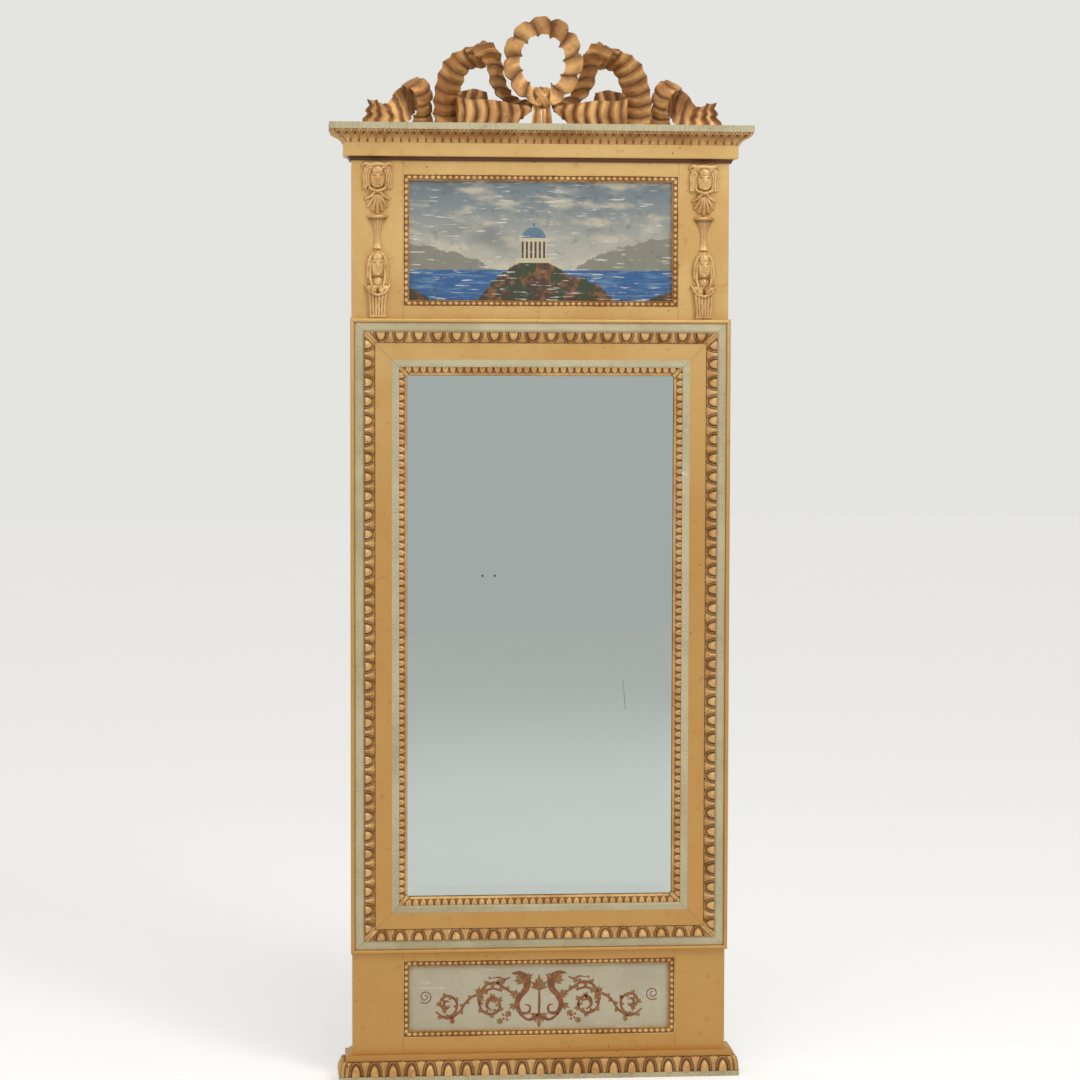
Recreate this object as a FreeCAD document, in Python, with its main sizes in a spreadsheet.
import FreeCAD, Part
import math
import os

import Sketcher
from FreeCAD import Placement, Rotation, Vector

# A trumeau mirror that stands on its plinth against a wall: a rebated carcass of stiles and rails,
# a mitred mirror frame planted on it, two panels in bead mouldings, a cornice, a plinth and a carved
# ribbon bow. X runs across the front, the wall is the plane y = 0, the front faces -Y, and z = 0 is
# the underside of the base board.

doc = FreeCAD.newDocument("trumeau_mirror")
sheet = doc.addObject("Spreadsheet::Sheet", "size")

sizes = [
    ("openingWidth", 468, "between the stiles"),
    ("stileWidth", 86, "face of a stile"),
    ("carcassDepth", 48, "wall to the face of stiles and rails"),
    ("railThickness", 38, "rails are thinner than stiles, which leaves a recess at the back"),
    ("lipThickness", 8, "wood left in front of a rebate"),
    ("rebateWidth", 12, "rebate for panels and backboards"),
    ("tenonLength", 30, ""),
    ("tenonThickness", 12, ""),
    ("tenonShoulder", 6, "from the edge of a rail to its tenon"),
    ("mortiseGap", 1, "left at the bottom of a mortise"),
    ("bottomRailShow", 22.5, "face of the bottom rail above the plinth"),
    ("lowerPanelHeight", 133, "opening round the ornament panel"),
    ("dadoRailShow", 14.5, "face of the dado rail below the mirror frame"),
    ("mirrorFrameHeight", 1080, "outside of the mirror frame"),
    ("friezeRailShow", 20, "face of the frieze rail above the mirror frame"),
    ("upperPanelHeight", 222.5, "opening round the picture panel"),
    ("topRailShow", 22, "face of the top rail below the cornice"),
    ("panelThickness", 7, ""),
    ("panelGap", 1.5, "round a panel or backboard in its rebate"),
    ("beadWidth", 10.7, "bead moulding round a panel"),
    ("beadProud", 2, "bead moulding in front of the rails"),
    ("giltEdge", 7, "round bead at the outside of the mirror frame"),
    ("outerSlip", 16, "pale slip inside the gilt edge"),
    ("eggBand", 19, "egg-and-dart moulding of the mirror frame"),
    ("flatBand", 27.5, "plain gilt flat"),
    ("innerSlip", 12.5, "pale slip inside the flat"),
    ("sightBand", 14, "carved moulding next to the glass"),
    ("sightLap", 7, "sight moulding over the glass opening"),
    ("seatDepth", 5, "frame member under the slips and the egg moulding"),
    ("flatDepth", 9, "frame member at the flat"),
    ("giltEdgeDepth", 14, "crown of the gilt edge"),
    ("slipDepth", 13, "crest of the pale slips"),
    ("frameEggDepth", 16, "crown of the egg moulding"),
    ("sightDepth", 8, "crown of the sight moulding"),
    ("frameEggPitch", 32, "one egg and one dart"),
    ("glassThickness", 5, ""),
    ("glassGap", 2, "round the plate in its opening"),
    ("glassBevel", 23, "width of the ground bevel"),
    ("bevelFall", 2, "depth of the ground bevel at the edge"),
    ("padLength", 60, "pads between the plate and the backboards"),
    ("padWidth", 12, ""),
    ("backboardThickness", 9, ""),
    ("baseThickness", 8.5, "base board"),
    ("baseReach", 23.5, "base board beyond the carcass"),
    ("cornerRound", 4, "front corners of the base board and the top board"),
    ("plinthMoulding", 23.5, "height of the egg moulding on the plinth"),
    ("plinthEggReach", 22, "egg moulding beyond the carcass"),
    ("plinthEggPitch", 31, "one egg and one dart"),
    ("plinthFillet", 12, "height of the flat band above the egg moulding"),
    ("plinthFilletReach", 12, "flat band beyond the carcass"),
    ("plinthHollow", 4, "height of the hollow above the flat band"),
    ("bedHeight", 6.5, "bed mould under the fascia"),
    ("bedReach", 8, "bed mould beyond the carcass"),
    ("fasciaHeight", 23, ""),
    ("fasciaReach", 14, "fascia beyond the carcass"),
    ("leafHeight", 21, "leaf moulding under the top board"),
    ("leafReach", 36, "leaf moulding beyond the carcass"),
    ("topBoardThickness", 11, ""),
    ("topBoardReach", 38, "top board beyond the carcass"),
    ("ribbonThickness", 5, "carved ribbon"),
    ("flutePitch", 17.5, "one flute of the ribbon"),
    ("fluteDepth", 2.4, "half the height of a flute"),
    ("ringHeight", 105, "centre of the ruffled ring above the top board"),
    ("ringWidth", 142, "outside of the ruffled ring"),
    ("ringTall", 156, "outside of the ruffled ring, upright"),
    ("ringHoleWidth", 71, ""),
    ("ringHoleHeight", 86, ""),
    ("ringLobes", 11, ""),
    ("knotRadius", 21.5, ""),
    ("knotHeight", 44, "centre of the knot above the top board"),
    ("maskHeight", 57, "mask at the head of a stile"),
    ("shellHeight", 34, "shell under the mask"),
    ("balusterHeight", 57, ""),
    ("figureWidth", 54, "widest part of a mask"),
    ("figureDepth", 15, "relief of masks and herms"),
    ("hangerInset", 70, "hanger from the end of the top rail"),
    ("hangerRise", 18, "eye of a hanger above the panel opening"),
    ("strapWidth", 20, "iron strap hanger"),
    ("strapLength", 46, ""),
    ("strapThickness", 1.6, ""),
    ("barrelWall", 1.6, "iron round the bar of the ring"),
    ("ringWire", 4, "diameter of the iron of a D ring"),
    ("ringClearance", 0.08, "radial, between the bar and its barrel"),
    ("dRingRadius", 13, "centre line of the round part of a D ring"),
    ("screwShank", 3, "diameter"),
    ("screwHead", 6.4, "diameter"),
    ("screwCrown", 1.2, "height of a screw head"),
    ("screwLength", 16, ""),
]
for row, (name, amount, note) in enumerate(sizes, start=1):
    sheet.set("A%d" % row, name)
    sheet.set("B%d" % row, str(amount))
    sheet.setAlias("B%d" % row, name)
    sheet.set("C%d" % row, note)
doc.recompute()

# Heights and widths that follow from the sheet, as expressions that sketches and placements share.
plinthTop = "(size.baseThickness + size.plinthMoulding + size.plinthFillet + size.plinthHollow)"
lowerFoot = "(%s + size.bottomRailShow)" % plinthTop
lowerHead = "(%s + size.lowerPanelHeight)" % lowerFoot
frameFoot = "(%s + size.dadoRailShow)" % lowerHead
frameHead = "(%s + size.mirrorFrameHeight)" % frameFoot
upperFoot = "(%s + size.friezeRailShow)" % frameHead
upperHead = "(%s + size.upperPanelHeight)" % upperFoot
corniceFoot = "(%s + size.topRailShow)" % upperHead
fasciaFoot = "(%s + size.bedHeight)" % corniceFoot
leafFoot = "(%s + size.fasciaHeight)" % fasciaFoot
carcassTop = "(%s + size.leafHeight)" % leafFoot
crestFoot = "(%s + size.topBoardThickness)" % carcassTop
frameBands = (
    "(size.giltEdge + size.outerSlip + size.eggBand + size.flatBand + size.innerSlip"
    " + size.sightBand)"
)
glassFoot = "(%s + %s - size.sightLap)" % (frameFoot, frameBands)
glassHead = "(%s - %s + size.sightLap)" % (frameHead, frameBands)
frameWidth = "(size.openingWidth - 2 * size.sightLap + 2 * %s)" % frameBands
carcassWidth = "(size.openingWidth + 2 * size.stileWidth)"
boardWidth = "(%s + 2 * size.topBoardReach)" % carcassWidth
boardDepth = "(size.carcassDepth + size.topBoardReach)"
lipBack = "(size.carcassDepth - size.lipThickness)"
railBack = "(size.carcassDepth - size.railThickness)"
tenonMiddle = "((%s + %s) / 2)" % (lipBack, railBack)
tenonFront = "(%s + size.tenonThickness / 2)" % tenonMiddle
tenonBack = "(%s - size.tenonThickness / 2)" % tenonMiddle
rebatedWidth = "(size.openingWidth + 2 * size.rebateWidth)"
tenonedWidth = "(%s + 2 * size.tenonLength)" % rebatedWidth


def number(expression):
    return float(sheet.evalExpression(expression))


def size(name):
    return float(sheet.get(name))


def setSize(thing, field, expression):
    thing.setExpression(field, expression)


def place(thing, across="0", deep="0", high="0"):
    setSize(thing, "Placement.Base.x", across)
    setSize(thing, "Placement.Base.y", deep)
    setSize(thing, "Placement.Base.z", high)


# Sketches, pads and pockets of the joinery.


def newBody(label):
    body = doc.addObject("PartDesign::Body", label)
    body.Label = label
    return body


def originPlane(body, role):
    return next(item for item in body.Origin.OriginFeatures if item.Role == role)


def newSketch(body, name, role):
    sketch = body.newObject("Sketcher::SketchObject", name)
    sketch.AttachmentSupport = [(originPlane(body, role), "")]
    sketch.MapMode = "FlatFace"
    return sketch


def drawOutline(sketch, corners):
    first = sketch.GeometryCount
    points = [Vector(number(across), number(up), 0) for across, up in corners]
    count = len(points)
    for index in range(count):
        side = Part.LineSegment(points[index], points[(index + 1) % count])
        sketch.addGeometry(side, False)
    for index in range(count):
        following = first + (index + 1) % count
        sketch.addConstraint(Sketcher.Constraint("Coincident", first + index, 2, following, 1))
    for index, corner in enumerate(corners):
        for kind, expression in zip(("DistanceX", "DistanceY"), corner):
            distance = Sketcher.Constraint(kind, first + index, 1, number(expression))
            row = sketch.addConstraint(distance)
            setSize(sketch, "Constraints[%d]" % row, expression)


def drawRectangle(sketch, left, foot, right, head):
    drawOutline(sketch, [(left, foot), (right, foot), (right, head), (left, head)])


def addPad(body, sketch, length, symmetric=False, reverse=False):
    pad = body.newObject("PartDesign::Pad", "pad")
    pad.Profile = sketch
    pad.SideType = "Symmetric" if symmetric else "One side"
    pad.Reversed = reverse
    setSize(pad, "Length", length)
    return pad


def addPocket(body, sketch, length, reverse=False):
    pocket = body.newObject("PartDesign::Pocket", "pocket")
    pocket.Profile = sketch
    pocket.Reversed = reverse
    setSize(pocket, "Length", length)
    return pocket


def mirrored(source, label):
    twin = doc.addObject("Part::Mirroring", label)
    twin.Label = label
    twin.Source = source
    twin.Normal = Vector(1, 0, 0)
    return twin


rails = {
    "rail_bottom": ("size.baseThickness", lowerFoot, False, True),
    "rail_dado": (lowerHead, glassFoot, True, True),
    "rail_frieze": (glassHead, upperFoot, True, True),
    "rail_top": (upperHead, carcassTop, True, False),
}


def railEdges(foot, head, rebatedFoot, rebatedHead):
    low = "(%s + size.rebateWidth)" % foot if rebatedFoot else foot
    high = "(%s - size.rebateWidth)" % head if rebatedHead else head
    return low, high


def railBody(label, foot, head, rebatedFoot, rebatedHead):
    body = newBody(label)
    low, high = railEdges(foot, head, rebatedFoot, rebatedHead)
    lip = newSketch(body, "lip", "YZ_Plane")
    drawRectangle(lip, "-size.carcassDepth", "0", "-%s" % lipBack, "%s - %s" % (head, foot))
    addPad(body, lip, "size.openingWidth", symmetric=True)
    core = newSketch(body, "core", "YZ_Plane")
    bottom, top = "%s - %s" % (low, foot), "%s - %s" % (high, foot)
    drawRectangle(core, "-%s" % lipBack, bottom, "-%s" % railBack, top)
    addPad(body, core, rebatedWidth, symmetric=True)
    tenon = newSketch(body, "tenon", "YZ_Plane")
    bottom, top = bottom + " + size.tenonShoulder", top + " - size.tenonShoulder"
    drawRectangle(tenon, "-%s" % tenonFront, bottom, "-%s" % tenonBack, top)
    addPad(body, tenon, tenonedWidth, symmetric=True)
    place(body, high=foot)
    return body


def stileBody(label):
    body = newBody(label)
    outline = newSketch(body, "outline", "XY_Plane")
    corners = [
        ("0", "-size.carcassDepth"),
        ("size.stileWidth", "-size.carcassDepth"),
        ("size.stileWidth", "0"),
        ("size.rebateWidth", "0"),
        ("size.rebateWidth", "-%s" % lipBack),
        ("0", "-%s" % lipBack),
    ]
    drawOutline(outline, corners)
    addPad(body, outline, "%s - size.baseThickness" % carcassTop)
    mortises = newSketch(body, "mortises", "YZ_Plane")
    for foot, head, rebatedFoot, rebatedHead in rails.values():
        low, high = railEdges(foot, head, rebatedFoot, rebatedHead)
        bottom = "%s - size.baseThickness + size.tenonShoulder" % low
        top = "%s - size.baseThickness - size.tenonShoulder" % high
        drawRectangle(mortises, "-%s" % tenonFront, bottom, "-%s" % tenonBack, top)
    depth = "size.rebateWidth + size.tenonLength + size.mortiseGap"
    addPocket(body, mortises, depth, reverse=True)
    place(body, across="size.openingWidth / 2", high="size.baseThickness")
    return body


def boardBody(label, width, foot, head, front, thickness):
    # A board that stands with its face at the given distance in front of the wall.
    body = newBody(label)
    face = newSketch(body, "face", "XZ_Plane")
    drawRectangle(face, "-%s / 2" % width, "0", "%s / 2" % width, "%s - %s" % (head, foot))
    addPad(body, face, thickness)
    place(body, deep="-(%s - %s)" % (front, thickness), high=foot)
    return body


def panelBody(label, foot, head):
    lap = "(size.rebateWidth - size.panelGap)"
    width = "(size.openingWidth + 2 * %s)" % lap
    low, high = "(%s - %s)" % (foot, lap), "(%s + %s)" % (head, lap)
    return boardBody(label, width, low, high, lipBack, "size.panelThickness")


def shelfBody(label, reach, foot, thickness):
    # A board that lies flat, flush with the wall, its front corners rounded.
    body = newBody(label)
    plan = newSketch(body, "plan", "XY_Plane")
    half = "(%s / 2 + %s)" % (carcassWidth, reach)
    drawRectangle(plan, "-" + half, "-(size.carcassDepth + %s)" % reach, half, "0")
    pad = addPad(body, plan, thickness)
    doc.recompute()
    front = -(size("carcassDepth") + number(reach))
    names = []
    for index, edge in enumerate(pad.Shape.Edges, start=1):
        box = edge.BoundBox
        if box.ZLength > box.XLength + box.YLength and abs(box.YMin - front) < 0.01:
            names.append("Edge%d" % index)
    corners = body.newObject("PartDesign::Fillet", "corners")
    corners.Base = (pad, names)
    setSize(corners, "Radius", "size.cornerRound")
    place(body, high=foot)
    return body


def plateBody(label):
    width = "(size.openingWidth - 2 * size.glassGap)"
    foot, head = "(%s + size.glassGap)" % glassFoot, "(%s - size.glassGap)" % glassHead
    body = boardBody(label, width, foot, head, "size.carcassDepth", "size.glassThickness")
    doc.recompute()
    pad = body.Tip
    names = []
    for index, edge in enumerate(pad.Shape.Edges, start=1):
        box = edge.BoundBox
        if abs(box.YMin + size("glassThickness")) < 0.01 and box.YLength < 0.01:
            names.append("Edge%d" % index)
    bevel = body.newObject("PartDesign::Chamfer", "bevel")
    bevel.Base = (pad, names)
    bevel.ChamferType = "Two distances"
    setSize(bevel, "Size", "size.bevelFall")
    setSize(bevel, "Size2", "size.glassBevel")
    doc.recompute()
    full = number("%s * (%s - %s)" % (width, head, foot)) * size("glassThickness")
    # The bevel is wide on the face and shallow at the edge, so a flipped one takes more away.
    around = 2 * (number(width) + number("%s - %s" % (head, foot)))
    expected = around * size("glassBevel") * size("bevelFall") / 2
    ground = full - bevel.Shape.Volume
    assert abs(ground - expected) < 0.1 * expected, "bevel"
    return body


def compound(label, parts):
    group = doc.addObject("Part::Compound", label)
    group.Label = label
    group.Links = parts
    return group


def plainBox(name, length, deep, high, across, back, foot):
    box = doc.addObject("Part::Box", name)
    setSize(box, "Length", length)
    setSize(box, "Width", deep)
    setSize(box, "Height", high)
    place(box, across, "-(%s + %s)" % (back, deep), foot)
    return box


def backboards():
    count = 3
    width = "(size.openingWidth + 2 * (size.rebateWidth - size.panelGap))"
    low = "(%s - size.rebateWidth + size.panelGap)" % glassFoot
    high = "(%s + size.rebateWidth - size.panelGap)" % glassHead
    each = "((%s - %s - %d * size.panelGap) / %d)" % (high, low, count - 1, count)
    back = "(%s - size.backboardThickness)" % lipBack
    boards = []
    for index in range(count):
        foot = "%s + %d * (%s + size.panelGap)" % (low, index, each)
        across = "-%s / 2" % width
        name = "board%d" % index
        board = plainBox(name, width, "size.backboardThickness", each, across, back, foot)
        boards.append(board)
    return compound("backboards", boards)


def glassPads():
    count = 4
    thickness = "(size.lipThickness - size.glassThickness)"
    reach = "(%s - %s - 2 * size.padLength)" % (glassHead, glassFoot)
    sides = ("-size.openingWidth / 2", "size.openingWidth / 2 - size.padWidth")
    pads = []
    for side, across in enumerate(sides):
        for index in range(count):
            foot = "%s + size.padLength / 2 + %s * %d / %d" % (glassFoot, reach, index, count - 1)
            name = "pad%d_%d" % (side, index)
            pad = plainBox(name, "size.padWidth", thickness, "size.padLength", across, lipBack, foot)
            pads.append(pad)
    return compound("glass_pads", pads)


# Mouldings: a profile lies in the plane of across (Y) and up (Z), runs along X and is cut at its mitres.


def profileFace(start, *steps):
    # A step is the next corner, or the middle and the end of an arc.
    edges = []
    first = here = Vector(0, *start)
    for step in steps:
        if isinstance(step[0], tuple):
            middle, end = Vector(0, *step[0]), Vector(0, *step[1])
            edges.append(Part.Arc(here, middle, end).toShape())
        else:
            end = Vector(0, *step)
            edges.append(Part.LineSegment(here, end).toShape())
        here = end
    edges.append(Part.LineSegment(here, first).toShape())
    return Part.Face(Part.Wire(edges))


def mitrePrism(length, reach, low, high, startSlope, endSlope):
    plan = [
        Vector(0, 0, low),
        Vector(length, 0, low),
        Vector(length - endSlope * reach, reach, low),
        Vector(startSlope * reach, reach, low),
        Vector(0, 0, low),
    ]
    return Part.Face(Part.makePolygon(plan)).extrude(Vector(0, 0, high - low))


def mitredRun(face, length, startSlope, endSlope):
    # A slope of 1 shortens the run inward, -1 lengthens it outward, and 0 cuts it square.
    box = face.BoundBox
    solid = face.copy()
    solid.translate(Vector(-box.YMax, 0, 0))
    solid = solid.extrude(Vector(length + 2 * box.YMax, 0, 0))
    prism = mitrePrism(length, box.YMax, box.ZMin - 1, box.ZMax + 1, startSlope, endSlope)
    return solid.common(prism)


def triangle(a, b, c):
    return Part.Face(Part.makePolygon([a, b, c, a]))


def facetSolid(rings, closed=False):
    # The solid between polygons of equal count, in flat triangles. A last ring of one point is a tip.
    faces = []
    following = rings[1:] + rings[:1] if closed else rings[1:]
    for ring, after in zip(rings, following):
        count = len(ring)
        for index in range(count):
            turn = (index + 1) % count
            if len(after) == 1:
                faces.append(triangle(ring[index], ring[turn], after[0]))
            else:
                faces.append(triangle(ring[index], ring[turn], after[index]))
                faces.append(triangle(ring[turn], after[turn], after[index]))
    if not closed:
        for ring in (rings[0], rings[-1]):
            if len(ring) > 1:
                faces.append(Part.Face(Part.makePolygon(ring + ring[:1])))
    shell = Part.makeShell(faces)
    shell.sewShape()
    solid = Part.makeSolid(shell)
    if solid.Volume < 0:
        solid.reverse()
    return solid


def ovalRing(centre, wide, tall, along, acrossAxis, count):
    ring = []
    for index in range(count):
        turn = 2 * math.pi * (index + 0.5) / count
        ring.append(centre + along * (wide * math.cos(turn)) + acrossAxis * (tall * math.sin(turn)))
    return ring


def eggAndDarts(run, pitch, length, head, foot):
    # Eggs and darts stand on the straight slope between its head and foot, given as (across, up).
    along = Vector(1, 0, 0)
    head, foot = Vector(0, *head), Vector(0, *foot)
    middle = (head + foot) * 0.5
    down = (foot - head).normalize()
    out = Vector(0, -down.z, down.y)
    halfWide, halfTall = 0.27 * pitch, 0.46 * (foot - head).Length
    buried = out * -1.5
    count = int(length / pitch)
    box = run.BoundBox
    first = (box.XMin + box.XMax) / 2 - (count - 1) * pitch / 2
    carving = []
    for index in range(count):
        centre = middle + along * (first + index * pitch)
        waist = centre + out * 2.6
        rings = [
            ovalRing(centre + buried, halfWide, halfTall, along, down, 6),
            ovalRing(waist, halfWide * 0.75, halfTall * 0.75, along, down, 6),
            [centre + out * 3.9],
        ]
        carving.append(facetSolid(rings))
    for index in range(count - 1):
        centre = middle + along * (first + (index + 0.5) * pitch)
        top, tip = centre - down * halfTall, centre + down * halfTall
        wide = along * (0.1 * pitch)
        dart = [[top - wide + buried, top + wide + buried, top + out * 2.6], [tip + buried]]
        carving.append(facetSolid(dart))
    return run.multiFuse(carving).removeSplitter()


def finished(label, shape, placement=Placement()):
    feature = doc.addObject("Part::Feature", label)
    feature.Label = label
    feature.Shape = shape
    feature.Placement = placement
    return feature


def framePlacements(left, right, foot, head, front):
    # A run along the foot of a rectangle in the plane of the front, and its three turns.
    flat = Rotation(Vector(1, 0, 0), 90)
    corners = {
        "bottom": ((left, foot), 0),
        "right": ((right, foot), -90),
        "top": ((right, head), 180),
        "left": ((left, head), 90),
    }
    placements = {}
    for side, ((across, high), turn) in corners.items():
        rotation = Rotation(Vector(0, 1, 0), turn).multiply(flat)
        placements[side] = Placement(Vector(across, -front, high), rotation)
    return placements


def roundPlacements(foot):
    # A run round the two sides and the front of the carcass, moulding outward.
    half, deep = number(carcassWidth) / 2, size("carcassDepth")
    up = Vector(0, 0, 1)
    return {
        "right": Placement(Vector(half, 0, foot), Rotation(up, -90)),
        "front": Placement(Vector(half, -deep, foot), Rotation(up, 180)),
        "left": Placement(Vector(-half, -deep, foot), Rotation(up, 90)),
    }


def roundRuns(face):
    half, deep = number(carcassWidth) / 2, size("carcassDepth")
    return {
        "right": mitredRun(face, deep, 0, -1),
        "front": mitredRun(face, 2 * half, -1, -1),
        "left": mitredRun(face, deep, -1, 0),
    }


def placedShape(shape, placement):
    moved = shape.copy()
    moved.Placement = placement
    return moved


def roundGroup(label, face, foot):
    placements = roundPlacements(foot)
    runs = roundRuns(face)
    parts = [placedShape(runs[side], placements[side]) for side in placements]
    return finished(label, Part.makeCompound(parts))


def cornice():
    reach, high = size("bedReach"), size("bedHeight")
    bed = profileFace(
        (0, 0), (reach / 2, 0), ((reach * 0.62, high * 0.62), (reach, high)), (0, high)
    )
    roundGroup("bed_mould", bed, number(corniceFoot))
    reach, high = size("fasciaReach"), size("fasciaHeight")
    soft = reach / 4
    fascia = profileFace(
        (0, 0),
        (reach - soft, 0),
        ((reach - soft * 0.3, soft * 0.3), (reach, soft)),
        (reach, high),
        (0, high),
    )
    placements = roundPlacements(number(fasciaFoot))
    runs = roundRuns(fascia)
    finished("fascia_front", runs["front"], placements["front"])
    sides = [placedShape(runs[side], placements[side]) for side in ("left", "right")]
    finished("fascia_returns", Part.makeCompound(sides))
    foot, reach, high = reach, size("leafReach"), size("leafHeight")
    rise = reach - foot
    leaf = profileFace(
        (0, 0),
        (foot, 0),
        ((foot + 0.12 * rise, 0.28 * high), (foot + 0.45 * rise, 0.48 * high)),
        ((foot + 0.82 * rise, 0.62 * high), (reach, 0.9 * high)),
        (reach, high),
        (0, high),
    )
    placements = roundPlacements(number(leafFoot))
    for side, run in roundRuns(leaf).items():
        finished("cornice_leaf_" + side, run, placements[side])


def plinth():
    reach, high = size("plinthEggReach"), size("plinthMoulding")
    ovolo = profileFace(
        (0, 0),
        (reach - 1, 0),
        (reach - 1, 1.5),
        (reach - 4, high - 1.5),
        (reach - 4, high),
        (0, high),
    )
    placements = roundPlacements(size("baseThickness"))
    pitch = size("plinthEggPitch")
    for side, run in roundRuns(ovolo).items():
        length = run.BoundBox.XLength - (2 if side == "front" else 1) * 0.6 * reach
        carved = eggAndDarts(run, pitch, length, (reach - 4, high - 1.5), (reach - 1, 1.5))
        finished("plinth_egg_" + side, carved, placements[side])
    reach, high, hollow = size("plinthFilletReach"), size("plinthFillet"), size("plinthHollow")
    band = profileFace(
        (0, 0),
        (reach - 2, 0),
        (reach - 2, 1.5),
        (reach, 1.5),
        (reach, high),
        (reach - 1.5, high),
        ((reach * 0.38, high + hollow * 0.35), (1, high + hollow)),
        (0, high + hollow),
    )
    roundGroup("plinth_band", band, size("baseThickness") + size("plinthMoulding"))


def mirrorFrame():
    half = number(frameWidth) / 2
    foot, head = number(frameFoot), number(frameHead)
    placements = framePlacements(-half, half, foot, head, size("carcassDepth"))
    lengths = {"bottom": 2 * half, "top": 2 * half, "left": head - foot, "right": head - foot}
    edge = size("giltEdge")
    slip = edge + size("outerSlip")
    egg = slip + size("eggBand")
    flat = egg + size("flatBand")
    inner = flat + size("innerSlip")
    sight = inner + size("sightBand")
    seat, level = size("seatDepth"), size("flatDepth")
    crown, crest = size("giltEdgeDepth"), size("slipDepth")
    eggCrown, sightCrown = size("frameEggDepth"), size("sightDepth")
    shoulder = crown - 3
    member = profileFace(
        (0, 0), (inner, 0), (inner, seat), (flat, seat), (flat, level), (egg, level), (egg, seat),
        (edge, seat), (edge, shoulder), ((edge / 2, crown), (0, shoulder)),
    )
    outer = profileFace(
        (edge, seat), (slip, seat), (slip, crest - 1), (slip - 4, crest), (edge + 1, crest - 3),
        (edge, crest - 4),
    )
    ovolo = profileFace(
        (slip, seat), (egg, seat), (egg, seat + 2), (egg - 1.5, seat + 2), (egg - 1.5, seat + 3),
        (slip + 2, eggCrown - 1), (slip + 2, eggCrown), (slip, eggCrown),
    )
    innerSlip = profileFace(
        (flat, seat), (inner, seat), (inner, crest - 3), (inner - 3, crest - 2), (flat, level + 0.5),
    )
    sightStrip = profileFace(
        (inner, 0), (sight, 0), (sight, 2), ((sight - 3, sightCrown - 1.2), (inner + 3, sightCrown)),
        (inner, sightCrown),
    )
    slips = []
    innerSlips = []
    for side, placement in placements.items():
        length = lengths[side]
        finished("mirror_frame_" + side, mitredRun(member, length, 1, 1), placement)
        slips.append(placedShape(mitredRun(outer, length, 1, 1), placement))
        innerSlips.append(placedShape(mitredRun(innerSlip, length, 1, 1), placement))
        run = mitredRun(ovolo, length, 1, 1)
        slopeHead, slopeFoot = (slip + 2, eggCrown - 1), (egg - 1.5, seat + 3)
        carved = eggAndDarts(run, size("frameEggPitch"), length - 2 * egg, slopeHead, slopeFoot)
        finished("egg_moulding_" + side, carved, placement)
        finished("sight_moulding_" + side, mitredRun(sightStrip, length, 1, 1), placement)
    finished("outer_slips", Part.makeCompound(slips))
    finished("inner_slips", Part.makeCompound(innerSlips))


def beading(label, foot, head):
    half = size("openingWidth") / 2
    low, high = number(foot), number(head)
    placements = framePlacements(-half, half, low, high, number(lipBack))
    wide, deep = size("beadWidth"), size("lipThickness") + size("beadProud")
    rim = profileFace(
        (0, 0), (wide, 0), (wide, deep - 4), (wide - 1.5, deep - 3),
        ((wide / 2, deep), (1.5, deep - 2)), (0, deep - 2),
    )
    strips = []
    for side, placement in placements.items():
        length = 2 * half if side in ("bottom", "top") else high - low
        strips.append(placedShape(mitredRun(rim, length, 1, 1), placement))
    return finished(label, Part.makeCompound(strips))


# The carved bow. Its ribbons stand on the top board, measured from the middle of the board's front.


def smoothPoint(points, where):
    # A smooth curve through the points, one unit from each to the next.
    last = len(points) - 2
    index = min(int(where), last)
    part = where - index
    a = points[max(index - 1, 0)]
    b, c = points[index], points[index + 1]
    d = points[min(index + 2, last + 1)]
    value = b * 2 + (c - a) * part
    value = value + (a * 2 - b * 5 + c * 4 - d) * part**2
    value = value + (b * 3 - a - c * 3 + d) * part**3
    return value * 0.5


def evenSteps(front, back, count):
    # Parameters that divide the ribbon's middle line into equal lengths.
    fine = 12 * (len(front) - 1)
    marks = [index * (len(front) - 1) / fine for index in range(fine + 1)]
    spots = [(smoothPoint(front, mark) + smoothPoint(back, mark)) * 0.5 for mark in marks]
    run = [0.0]
    for index in range(fine):
        run.append(run[-1] + (spots[index + 1] - spots[index]).Length)
    steps = []
    index = 0
    for step in range(count + 1):
        wanted = run[-1] * step / count
        while index < fine - 1 and run[index + 1] < wanted:
            index += 1
        part = (wanted - run[index]) / (run[index + 1] - run[index])
        steps.append(marks[index] + (marks[index + 1] - marks[index]) * part)
    return steps, run[-1]


def bowPoints(points):
    # The points are drawn for a board of 716 by 86 and a ring 105 up, and follow those sizes.
    spread = number(boardWidth) / 716
    depth = number(boardDepth) / 86
    rise = size("ringHeight") / 105
    return [Vector(across * spread, -deep * depth, high * rise) for across, deep, high in points]


def ribbon(front, back, perFlute=4):
    # A fluted band between two edges, each given by a few points (across, forward, up).
    front, back = bowPoints(front), bowPoints(back)
    length = evenSteps(front, back, 1)[1]
    flutes = max(1, round(length / size("flutePitch")))
    steps = evenSteps(front, back, perFlute * flutes)[0]
    half, depth = size("ribbonThickness") / 2, size("fluteDepth")
    last = len(front) - 1
    rings = []
    for index, step in enumerate(steps):
        near, far = smoothPoint(front, step), smoothPoint(back, step)
        before, after = max(step - 0.1, 0), min(step + 0.1, last)
        along = smoothPoint(front, after) + smoothPoint(back, after)
        along = along - smoothPoint(front, before) - smoothPoint(back, before)
        out = (far - near).cross(along).normalize()
        shift = out * (depth * math.sin(2 * math.pi * index / perFlute))
        thick = out * half
        rings.append(
            [near + shift - thick, near + shift + thick, far + shift + thick, far + shift - thick]
        )
    return facetSolid(rings)


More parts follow.
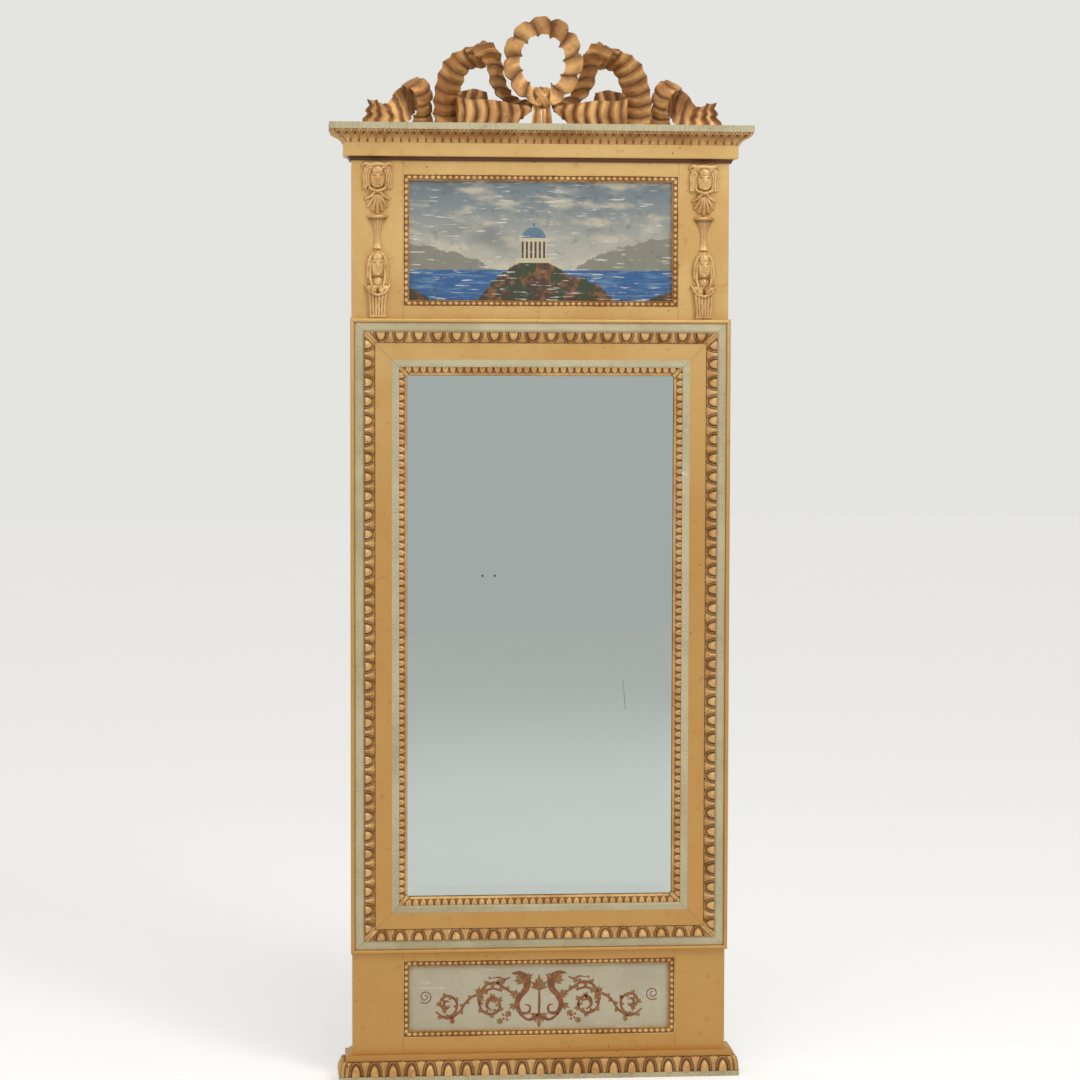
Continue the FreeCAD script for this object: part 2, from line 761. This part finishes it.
def loopRibbon():
    front = [
        (-184, 74, -4), (-184, 74, 40), (-177, 74, 80), (-163, 73, 106), (-147, 72, 118),
        (-136.5, 71, 124), (-130, 70, 119), (-117, 69, 117), (-101, 66, 98), (-92, 60, 76),
        (-84, 54, 56), (-68, 50, 34), (-44, 52, 27), (-16, 58, 33),
    ]
    back = [
        (-146, 36, -4), (-147, 36, 40), (-139, 36, 78), (-127, 34, 94), (-115, 32, 95),
        (-108, 30, 103), (-122, 24, 132), (-102, 24, 141), (-79, 22, 124), (-68, 20, 98),
        (-62, 18, 74), (-55, 18, 54), (-38, 24, 46), (-14, 38, 48),
    ]
    return ribbon(front, back)


def foldRibbon():
    foot = [
        (-18, 66, 22), (-34, 68, 10), (-50, 72, -3), (-84, 76, -3), (-122, 76, -3), (-138, 68, -3),
        (-142, 56, 2), (-134, 42, 8), (-112, 34, 12), (-92, 32, 12),
    ]
    top = [
        (-18, 66, 30), (-34, 68, 31), (-50, 72, 33), (-84, 76, 39), (-122, 76, 39), (-139, 68, 43),
        (-143, 56, 48), (-134, 42, 56), (-112, 34, 61), (-92, 32, 56),
    ]
    return ribbon(foot, top)


def curlRibbon():
    front = [
        (-189, 58, -3), (-205, 62, -3), (-219, 70, 8), (-217, 76, 26), (-219, 78, 42),
        (-231, 78, 57), (-245, 76, 59), (-253, 72, 47), (-262, 68, 34), (-276, 68, 38),
        (-297, 66, 38),
    ]
    back = [
        (-189, 34, 30), (-192, 34, 36), (-191, 34, 42), (-190, 34, 54), (-198, 34, 70),
        (-214, 36, 72), (-222, 44, 50), (-222, 62, 20), (-238, 78, 2), (-262, 76, -3),
        (-305, 74, -3),
    ]
    return ribbon(front, back)


def ringShape():
    lobes = round(size("ringLobes"))
    count = 4 * lobes
    centre = Vector(0, 0, size("ringHeight"))
    half, depth = size("ribbonThickness") / 2, size("fluteDepth")
    wide, tall = size("ringWidth") / 2 - depth, size("ringTall") / 2 - depth
    holeWide, holeTall = size("ringHoleWidth") / 2, size("ringHoleHeight") / 2
    front = number(boardDepth) - 9
    back = front - 19
    rings = []
    for index in range(count):
        turn = 2 * math.pi * index / count
        wave = math.cos(lobes * turn)
        spoke = Vector(math.sin(turn), 0, math.cos(turn))
        rim = Vector(wide * math.sin(turn), 0, tall * math.cos(turn))
        outer = centre + rim + spoke * (depth * wave)
        hole = Vector(holeWide * math.sin(turn), 0, holeTall * math.cos(turn))
        inner = centre + hole - spoke * (depth * 0.7 * wave)
        outer.y = -front - depth * wave
        inner.y = -back - depth * wave
        thick = (Vector(0, 1, 0) - spoke * 0.6).normalize() * half
        rings.append([inner - thick, outer - thick, outer + thick, inner + thick])
    return facetSolid(rings, closed=True)


def bandRound(centre, radius, width, thickness, lean):
    # A closed strap round a ball, leaning from the upright by the given angle.
    count = 14
    tilt = math.radians(lean)
    axis = Vector(math.cos(tilt), 0, math.sin(tilt))
    side = Vector(-math.sin(tilt), 0, math.cos(tilt))
    rings = []
    for index in range(count):
        turn = 2 * math.pi * index / count
        spoke = side * math.cos(turn) + Vector(0, 1, 0) * math.sin(turn)
        inner, outer = spoke * (radius - thickness), spoke * radius
        half = axis * (width / 2)
        section = [inner - half, outer - half * 0.8, outer + half * 0.8, inner + half]
        rings.append([centre + corner for corner in section])
    return facetSolid(rings, closed=True)


def knotShape():
    radius, high = size("knotRadius"), size("knotHeight")
    middle = number(boardDepth) - 22
    centre = Vector(-2, -middle, high)
    core = radius - 3
    levels = 6
    rings = []
    for index in range(1, levels):
        turn = math.pi * index / levels
        spot = centre + Vector(0, -core * math.cos(turn), 0)
        across, up = Vector(1, 0, 0), Vector(0, 0, 1)
        rings.append(ovalRing(spot, core * math.sin(turn), core * math.sin(turn), across, up, 10))
    ball = facetSolid(rings)
    straps = [bandRound(centre, radius, 13, 5, lean) for lean in (32, -32)]
    tails = []
    for inner, outer in ((-2.8, -20), (-1.2, 16)):
        top = high - radius + 6
        section = [(inner, 0), (outer, 0), (outer * 0.8, top), (inner, top)]
        corners = [Vector(across, -middle - 12, up) for across, up in section]
        face = Part.Face(Part.makePolygon(corners + corners[:1]))
        tails.append(face.extrude(Vector(0, 12, 0)))
    return ball.multiFuse(straps + tails).removeSplitter()


def swallowTail():
    # What is cut from the end of a curl to leave its three points.
    far = number(boardWidth)
    notches = [
        (-far, 60), (-297, 40), (-291, 27), (-301, 22), (-296, 16), (-306, 4), (-far, -10),
    ]
    deep = number(boardDepth) * 1.2
    corners = bowPoints([(across, deep, up) for across, up in notches])
    return Part.Face(Part.makePolygon(corners + corners[:1])).extrude(Vector(0, 2 * deep, 0))


def largest(shape):
    # A cut can leave a crumb beside the ribbon.
    return max(shape.Solids, key=lambda solid: solid.Volume)


def crest():
    wide, deep = number(boardWidth), number(boardDepth)
    floor = Part.makeBox(wide, 2 * deep, deep, Vector(-wide / 2, -1.5 * deep, -deep))
    knot = knotShape().cut(floor)
    ring = largest(ringShape().cut(knot))
    loop = largest(loopRibbon().cut(floor).cut(knot))
    fold = largest(foldRibbon().cut(floor).cut(knot))
    curl = largest(curlRibbon().cut(floor).cut(swallowTail()))
    seat = Placement(Vector(0, 0, number(crestFoot)), Rotation())
    finished("crest_knot", knot, seat)
    finished("crest_ring", ring, seat)
    for name, shape in (("loop", loop), ("fold", fold), ("curl", curl)):
        left = finished("crest_%s_left" % name, shape, seat)
        mirrored(left, "crest_%s_right" % name)


# Figures on the stiles: low reliefs that swell from their outline.


def pillow(outline, height, base=0.0, crown=0.55):
    # The outline lies in the plane of across and up, and the relief rises towards the front.
    middle = Vector(0, 0, 0)
    for across, up in outline:
        middle = middle + Vector(across, 0, up) * (1 / len(outline))
    rings = []
    for share, level in ((1, 0), (0.93, 0.6), (crown, 1)):
        ring = []
        for across, up in outline:
            point = middle + (Vector(across, 0, up) - middle) * share
            point.y = -base - height * level
            ring.append(point)
        rings.append(ring)
    return facetSolid(rings)


def oval(across, up, wide, tall, count=10):
    outline = []
    for index in range(count):
        turn = 2 * math.pi * index / count
        outline.append((across + wide / 2 * math.sin(turn), up + tall / 2 * math.cos(turn)))
    return outline


def maskShape():
    wide, tall, deep = size("figureWidth"), size("maskHeight"), size("figureDepth")
    half = wide / 2
    drape = [
        (-half, 0), (half, 0), (half, -0.45 * tall), (0.78 * half, -0.78 * tall),
        (0.35 * half, -tall), (-0.35 * half, -tall), (-0.78 * half, -0.78 * tall),
        (-half, -0.45 * tall),
    ]
    cloth = pillow(drape, deep * 0.5, crown=0.8)
    face = pillow(oval(0, -0.53 * tall, 0.46 * wide, 0.74 * tall), deep * 0.6, deep * 0.4)
    brow, tip = -0.47 * tall, -0.62 * tall
    nose = facetSolid([
        [Vector(-1, -deep * 0.9, brow), Vector(1, -deep * 0.9, brow), Vector(0, -deep * 1.02, brow)],
        [Vector(-2.6, -deep * 0.9, tip), Vector(2.6, -deep * 0.9, tip), Vector(0, -deep * 1.2, tip)],
    ])
    hinge = -0.9 * tall
    drop = tall + size("shellHeight") + hinge
    fan = [(-0.3 * half, -tall)]
    ribs = 7
    for index in range(2 * ribs + 1):
        turn = math.pi * (0.04 + 0.92 * index / (2 * ribs))
        reach = 1.0 if index % 2 else 0.9
        across = -0.8 * half * reach * math.cos(turn)
        fan.append((across, hinge - drop * reach * math.sin(turn)))
    fan.append((0.3 * half, -tall))
    shell = pillow(fan, deep * 0.55, crown=0.5)
    return cloth.multiFuse([face, nose, shell]).removeSplitter()


def balusterShape():
    # A half baluster, turned and then planted, a little flatter than round.
    tall = size("balusterHeight")
    cap, neck, sides = 18.5, 5.6, 7
    turning = [
        (cap * 0.9, 0), (cap, 0.05), (cap * 0.8, 0.16), (neck * 1.25, 0.4), (neck, 0.6),
        (neck * 1.3, 1),
    ]
    rings = []
    for radius, share in turning:
        ring = []
        for index in range(sides + 1):
            turn = math.pi * index / sides
            forward = -0.7 * radius * math.sin(turn)
            ring.append(Vector(radius * math.cos(turn), forward, -share * tall))
        rings.append(ring)
    return facetSolid(rings)


def hermShape():
    head = number("%s - %s" % (corniceFoot, frameHead))
    tall = head - size("maskHeight") - size("shellHeight") - size("balusterHeight")
    half, deep = 0.8 * size("figureWidth") / 2, size("figureDepth")
    term = [
        (-half, -0.5 * tall), (-0.6 * half, -0.4 * tall), (0.6 * half, -0.4 * tall),
        (half, -0.5 * tall), (0.95 * half, -0.62 * tall), (0.66 * half, -tall),
        (-0.66 * half, -tall), (-0.95 * half, -0.62 * tall),
    ]
    body = pillow(term, deep * 0.62, crown=0.75)
    hair = pillow(oval(0, -0.2 * tall, 1.72 * half, 0.4 * tall), deep * 0.55)
    face = pillow(oval(0, -0.25 * tall, 1.15 * half, 0.4 * tall), deep * 0.62, deep * 0.4)
    return body.multiFuse([hair, face]).removeSplitter()


def figures():
    middle = number("size.openingWidth / 2 + size.stileWidth / 2")
    front = -size("carcassDepth")
    high = number(corniceFoot)
    shapes = (
        ("mask", maskShape(), 0),
        ("baluster", balusterShape(), size("maskHeight") + size("shellHeight")),
        ("herm", hermShape(), size("maskHeight") + size("shellHeight") + size("balusterHeight")),
    )
    for name, shape, drop in shapes:
        seat = Placement(Vector(middle, front, high - drop), Rotation())
        right = finished(name + "_right", shape, seat)
        mirrored(right, name + "_left")


# Iron hangers in the recess behind the top rail.

barrelRadius = "(size.ringWire / 2 + size.ringClearance + size.barrelWall)"
hangerAcross = "(size.openingWidth / 2 - size.hangerInset)"
hangerDeep = "-(%s - %s)" % (railBack, barrelRadius)
hangerHigh = "(%s + size.hangerRise)" % upperHead
screwShares = (0.5, 0.85)


def roundBar(name, radius, length, across):
    bar = doc.addObject("Part::Cylinder", name)
    setSize(bar, "Radius", radius)
    setSize(bar, "Height", length)
    bar.Placement.Rotation = Rotation(Vector(0, 1, 0), 90)
    place(bar, across)
    return bar


def screwPart(name, radius, length, deep, high):
    # Eight-sided, with its axis towards the front.
    prism = doc.addObject("Part::Prism", name)
    prism.Polygon = 8
    setSize(prism, "Circumradius", radius)
    setSize(prism, "Height", length)
    prism.Placement.Rotation = Rotation(Vector(1, 0, 0), 90)
    place(prism, "0", deep, high)
    return prism


def fused(name, shapes):
    joined = doc.addObject("Part::MultiFuse", name)
    joined.Shapes = shapes
    return joined


def cutFrom(name, base, tool):
    cut = doc.addObject("Part::Cut", name)
    cut.Label = name
    cut.Base = base
    cut.Tool = tool
    return cut


def bothSides(name, things):
    # The same pieces at the right-hand hanger and, mirrored, at the left-hand one.
    right = compound(name + "_right", things)
    place(right, hangerAcross, hangerDeep, hangerHigh)
    return compound(name, [right, mirrored(right, name + "_left")])


def hangers(topRail):
    side = "-size.strapWidth / 2"
    barrel = roundBar("barrel", barrelRadius, "size.strapWidth", side)
    strap = doc.addObject("Part::Box", "strap")
    setSize(strap, "Length", "size.strapWidth")
    setSize(strap, "Width", "size.strapThickness")
    setSize(strap, "Height", "size.strapLength")
    place(strap, side, "-" + barrelRadius)
    bore = roundBar("bore", "size.ringWire / 2 + size.ringClearance", "size.strapWidth", side)
    face = "size.strapThickness - %s" % barrelRadius
    shanks = []
    screws = []
    for index, share in enumerate(screwShares):
        high = "size.strapLength * %s" % share
        shank = screwPart("shank%d" % index, "size.screwShank / 2", "size.screwLength", face, high)
        crown = face + " + size.screwCrown"
        head = screwPart("head%d" % index, "size.screwHead / 2", "size.screwCrown", crown, high)
        shanks.append(shank)
        screws.append(fused("screw%d" % index, [shank, head]))
    holes = fused("holes", [bore] + shanks)
    hanger = cutFrom("hanger", fused("iron", [barrel, strap]), holes)
    bothSides("hangers", [hanger])
    bothSides("hanger_screws", screws)
    cutFrom("rail_top", topRail, bothSides("drills", shanks))


def dRing():
    bar = roundBar("bar", "size.ringWire / 2", "2 * size.dRingRadius", "-size.dRingRadius")
    steps, sides = 12, 8
    radius, wire = size("dRingRadius"), size("ringWire") / 2
    rings = []
    for index in range(steps + 1):
        turn = math.pi * index / steps
        spoke = Vector(math.cos(turn), 0, -math.sin(turn))
        rings.append(ovalRing(spoke * radius, wire, wire, spoke, Vector(0, 1, 0), sides))
    bow = finished("bow", facetSolid(rings))
    right = doc.addObject("Part::Fuse", "d_ring_right")
    right.Label = "d_ring_right"
    right.Base = bar
    right.Tool = bow
    place(right, hangerAcross, hangerDeep, hangerHigh)
    mirrored(right, "d_ring_left")


stile = stileBody("stile_right")
mirrored(stile, "stile_left")
bodies = {label: railBody(label, *ends) for label, ends in rails.items()}
bodies["rail_top"].Label = "undrilled_top_rail"
panelBody("picture_panel", upperFoot, upperHead)
panelBody("ornament_panel", lowerFoot, lowerHead)
beading("picture_beading", upperFoot, upperHead)
beading("ornament_beading", lowerFoot, lowerHead)
mirrorFrame()
plateBody("mirror_plate")
backboards()
glassPads()
shelfBody("top_board", "size.topBoardReach", carcassTop, "size.topBoardThickness")
shelfBody("base_board", "size.baseReach", "0", "size.baseThickness")
cornice()
plinth()
crest()
figures()
hangers(bodies["rail_top"])
dRing()
doc.recompute()

nodes = [
    "stile_left", "stile_right", "rail_top", "rail_frieze", "rail_dado", "rail_bottom",
    "picture_panel", "ornament_panel", "picture_beading", "ornament_beading",
    "mirror_frame_top", "mirror_frame_bottom", "mirror_frame_left", "mirror_frame_right",
    "outer_slips", "inner_slips",
    "egg_moulding_top", "egg_moulding_bottom", "egg_moulding_left", "egg_moulding_right",
    "sight_moulding_top", "sight_moulding_bottom", "sight_moulding_left", "sight_moulding_right",
    "mirror_plate", "backboards", "glass_pads",
    "top_board", "cornice_leaf_front", "cornice_leaf_left", "cornice_leaf_right",
    "fascia_front", "fascia_returns", "bed_mould",
    "base_board", "plinth_egg_front", "plinth_egg_left", "plinth_egg_right", "plinth_band",
    "crest_ring", "crest_knot", "crest_loop_left", "crest_loop_right",
    "crest_fold_left", "crest_fold_right", "crest_curl_left", "crest_curl_right",
    "mask_left", "mask_right", "baluster_left", "baluster_right", "herm_left", "herm_right",
    "hangers", "hanger_screws", "d_ring_left", "d_ring_right",
]

for thing in doc.Objects:
    if {"Invalid", "Error"} & set(thing.State):
        raise RuntimeError("%s failed: %s" % (thing.Label, thing.State))

os.makedirs("parts", exist_ok=True)
shapes = {thing.Label: thing.Shape for thing in doc.Objects if thing.Label in nodes}
for node in nodes:
    shape = shapes[node]
    if shape.isNull() or not shape.isValid():
        raise RuntimeError("%s has no valid shape" % node)
for node in nodes:
    shapes[node].exportStep(os.path.join("parts", node + ".step"))
print("nodes", len(nodes), "solids", sum(len(shapes[node].Solids) for node in nodes))
